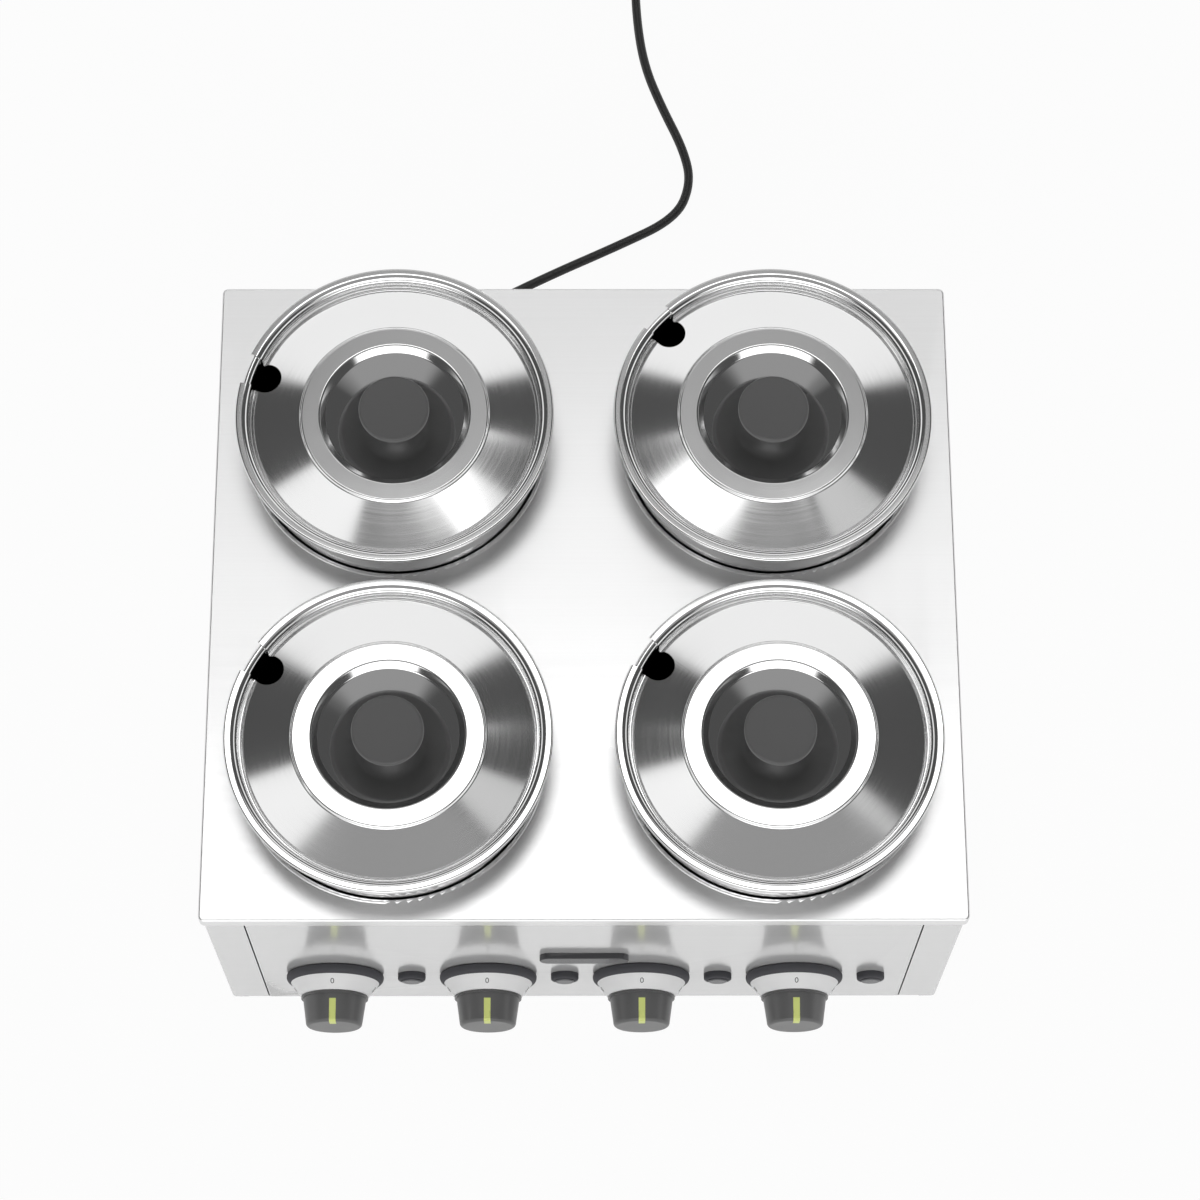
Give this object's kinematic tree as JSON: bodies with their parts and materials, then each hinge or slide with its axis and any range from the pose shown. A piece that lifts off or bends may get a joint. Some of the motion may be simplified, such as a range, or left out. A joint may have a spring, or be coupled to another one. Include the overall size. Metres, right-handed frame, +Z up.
{
  "type": "bain marie",
  "caption": "Free-standing electric food warmer: lidded round pots in heated wells under a flat steel top, with turning heat controls on the front and a supply cord.",
  "frame": {"origin": "on the standing surface, under the middle of the body's bounding box without the supply cord", "axes": "+X to the right seen from the front, +Y to the rear, +Z up"},
  "size_m": [0.5, 1.074, 0.2813],
  "materials": {
    "plate_steel": "brushed",
    "case_steel": "fine brushed",
    "polished_steel": "mirror polished",
    "well_steel": "satin",
    "screw_steel": "zinc plated",
    "heater_aluminium": "cast",
    "copper": "drawn",
    "inner_plastic": "moulded",
    "dark_plastic": "moulded",
    "black_plastic": "moulded",
    "white_plastic": "moulded",
    "lime_plastic": "moulded",
    "lamp_lens": "smooth",
    "badge_dark": "smooth",
    "black_rubber": "moulded",
    "cord_black": "smooth"
  },
  "bodies": {
    "case": {"top_plate": "plate_steel", "case_shell": "case_steel", "front_panel": "case_steel", "base_plate": "case_steel", "base_screws": "screw_steel", "feet": "black_rubber", "foot_screws": "screw_steel", "foot_nuts": "screw_steel", "heaters": "heater_aluminium", "heater_nuts": "screw_steel", "capillaries": "copper", "thermostats": "inner_plastic", "thermostat_nuts": "screw_steel", "bezel_rings": "dark_plastic", "dial_rings": "white_plastic", "lamp_bezels": "dark_plastic", "lamp_lenses": "lamp_lens", "badge": "badge_dark", "terminal_block": "inner_plastic", "cable_gland": "black_plastic", "gland_nut": "black_plastic", "power_cord": "cord_black", "cord_coil": "cord_black", "plug": "black_plastic", "well_front_left": "well_steel", "well_front_right": "well_steel", "well_rear_left": "well_steel", "well_rear_right": "well_steel"},
    "pot_front_left": {"pot_front_left": "polished_steel"},
    "lid_front_left": {"lid_front_left": "polished_steel", "lid_knob_front_left": "black_plastic", "lid_screw_front_left": "screw_steel"},
    "pot_front_right": {"pot_front_right": "polished_steel"},
    "lid_front_right": {"lid_front_right": "polished_steel", "lid_knob_front_right": "black_plastic", "lid_screw_front_right": "screw_steel"},
    "pot_rear_left": {"pot_rear_left": "polished_steel"},
    "lid_rear_left": {"lid_rear_left": "polished_steel", "lid_knob_rear_left": "black_plastic", "lid_screw_rear_left": "screw_steel"},
    "pot_rear_right": {"pot_rear_right": "polished_steel"},
    "lid_rear_right": {"lid_rear_right": "polished_steel", "lid_knob_rear_right": "black_plastic", "lid_screw_rear_right": "screw_steel"},
    "knob_1": {"control_knob_1": "black_plastic", "knob_pointer_1": "lime_plastic", "knob_spindle_1": "screw_steel"},
    "knob_2": {"control_knob_2": "black_plastic", "knob_pointer_2": "lime_plastic", "knob_spindle_2": "screw_steel"},
    "knob_3": {"control_knob_3": "black_plastic", "knob_pointer_3": "lime_plastic", "knob_spindle_3": "screw_steel"},
    "knob_4": {"control_knob_4": "black_plastic", "knob_pointer_4": "lime_plastic", "knob_spindle_4": "screw_steel"}
  },
  "joints": [
    {"name": "pot_lift_front_left", "type": "slide", "parent": "case", "child": "pot_front_left", "axis": [0, 0, 1], "range_m": [0, 0.18]},
    {"name": "lid_lift_front_left", "type": "slide", "parent": "pot_front_left", "child": "lid_front_left", "axis": [0, 0, 1], "range_m": [0, 0.12]},
    {"name": "pot_lift_front_right", "type": "slide", "parent": "case", "child": "pot_front_right", "axis": [0, 0, 1], "range_m": [0, 0.18]},
    {"name": "lid_lift_front_right", "type": "slide", "parent": "pot_front_right", "child": "lid_front_right", "axis": [0, 0, 1], "range_m": [0, 0.12]},
    {"name": "pot_lift_rear_left", "type": "slide", "parent": "case", "child": "pot_rear_left", "axis": [0, 0, 1], "range_m": [0, 0.18]},
    {"name": "lid_lift_rear_left", "type": "slide", "parent": "pot_rear_left", "child": "lid_rear_left", "axis": [0, 0, 1], "range_m": [0, 0.12]},
    {"name": "pot_lift_rear_right", "type": "slide", "parent": "case", "child": "pot_rear_right", "axis": [0, 0, 1], "range_m": [0, 0.18]},
    {"name": "lid_lift_rear_right", "type": "slide", "parent": "pot_rear_right", "child": "lid_rear_right", "axis": [0, 0, 1], "range_m": [0, 0.12]},
    {"name": "knob_turn_1", "type": "hinge", "parent": "case", "child": "knob_1", "pos_m": [-0.171, -0.2065, 0.086], "axis": [0, 1, 0], "range_deg": [0, 270]},
    {"name": "knob_turn_2", "type": "hinge", "parent": "case", "child": "knob_2", "pos_m": [-0.06586, -0.2065, 0.086], "axis": [0, 1, 0], "range_deg": [0, 270]},
    {"name": "knob_turn_3", "type": "hinge", "parent": "case", "child": "knob_3", "pos_m": [0.03929, -0.2065, 0.086], "axis": [0, 1, 0], "range_deg": [0, 270]},
    {"name": "knob_turn_4", "type": "hinge", "parent": "case", "child": "knob_4", "pos_m": [0.14443, -0.2065, 0.086], "axis": [0, 1, 0], "range_deg": [0, 270]}
  ]
}
